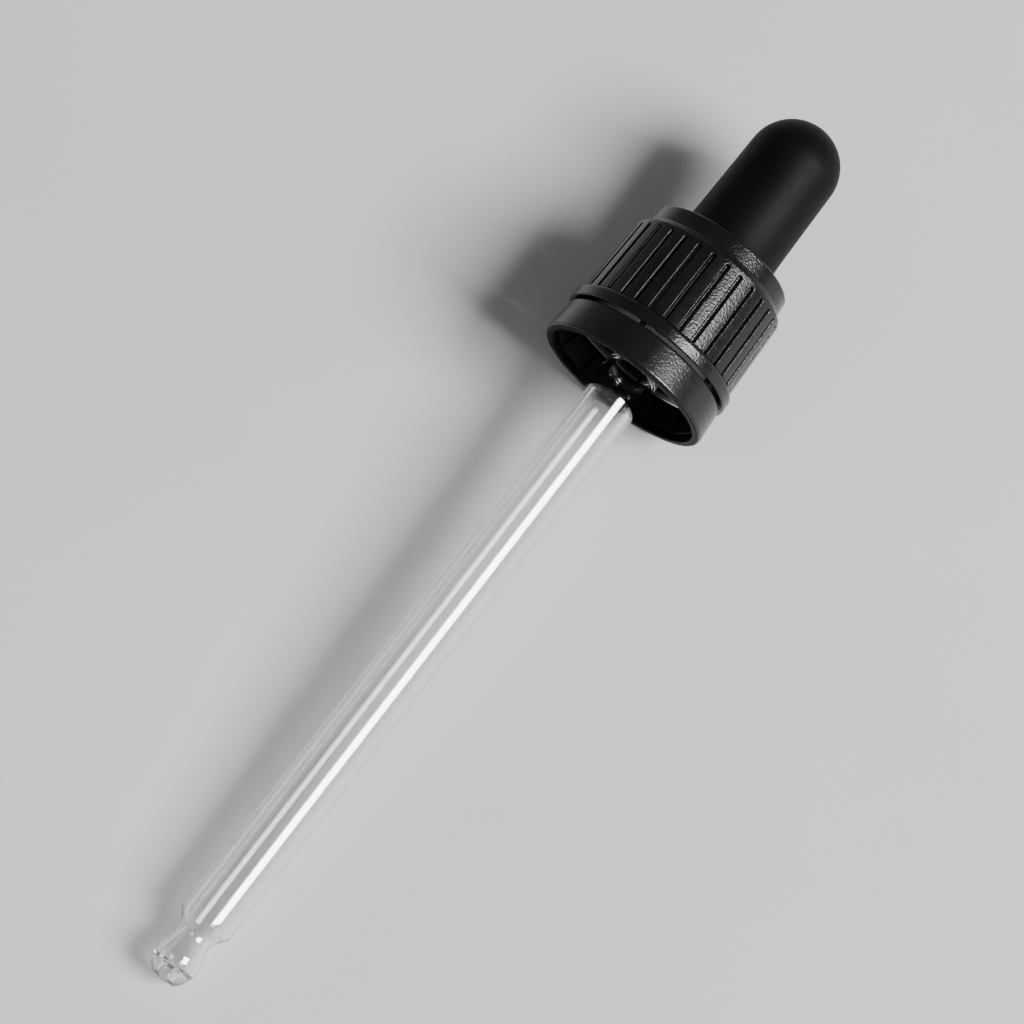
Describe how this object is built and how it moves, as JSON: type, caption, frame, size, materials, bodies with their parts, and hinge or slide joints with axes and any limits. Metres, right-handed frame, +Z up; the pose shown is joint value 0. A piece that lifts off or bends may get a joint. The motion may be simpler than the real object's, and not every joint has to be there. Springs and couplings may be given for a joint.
{
  "type": "medicine dropper",
  "caption": "Screw-on dropper closure: a rubber bulb and a ribbed cap with a tamper band hold a straight glass pipette with a ball tip, for drawing up liquid and releasing drops.",
  "frame": {"origin": "on the dropper's axis, in the plane of the tamper band's open rim, where a bottle's neck enters the cap", "axes": "+X along the dropper's axis from the pipette's tip to the bulb, +Z up as the dropper lies; round about X"},
  "size_m": [0.13, 0.023, 0.023],
  "materials": {
    "cap_plastic": "black polypropylene, satin with a fine moulded grain",
    "bulb_rubber": "matte black rubber",
    "pipette_glass": "clear fire-polished glass"
  },
  "bodies": {
    "cap": {"screw_cap": "cap_plastic"},
    "band": {"tamper_band": "cap_plastic", "locking_flaps": "cap_plastic", "break_bridges": "cap_plastic"},
    "pipette": {"glass_pipette": "pipette_glass"},
    "bulb": {"rubber_bulb": "bulb_rubber"}
  },
  "joints": [
    {"name": "cap_spin", "type": "hinge", "parent": "cap", "child": "pipette", "pos_m": [0, 0, 0], "axis": [1, 0, 0], "continuous": true},
    {"name": "band_release", "type": "slide", "parent": "cap", "child": "band", "axis": [-1, 0, 0], "range_m": [0, 0.096]},
    {"name": "bulb_squeeze", "type": "slide", "parent": "pipette", "child": "bulb", "axis": [0, 0, -1], "range_m": [0, 0.004], "stiffness_N_per_m": 1500, "deforming": ["rubber_bulb"]}
  ]
}
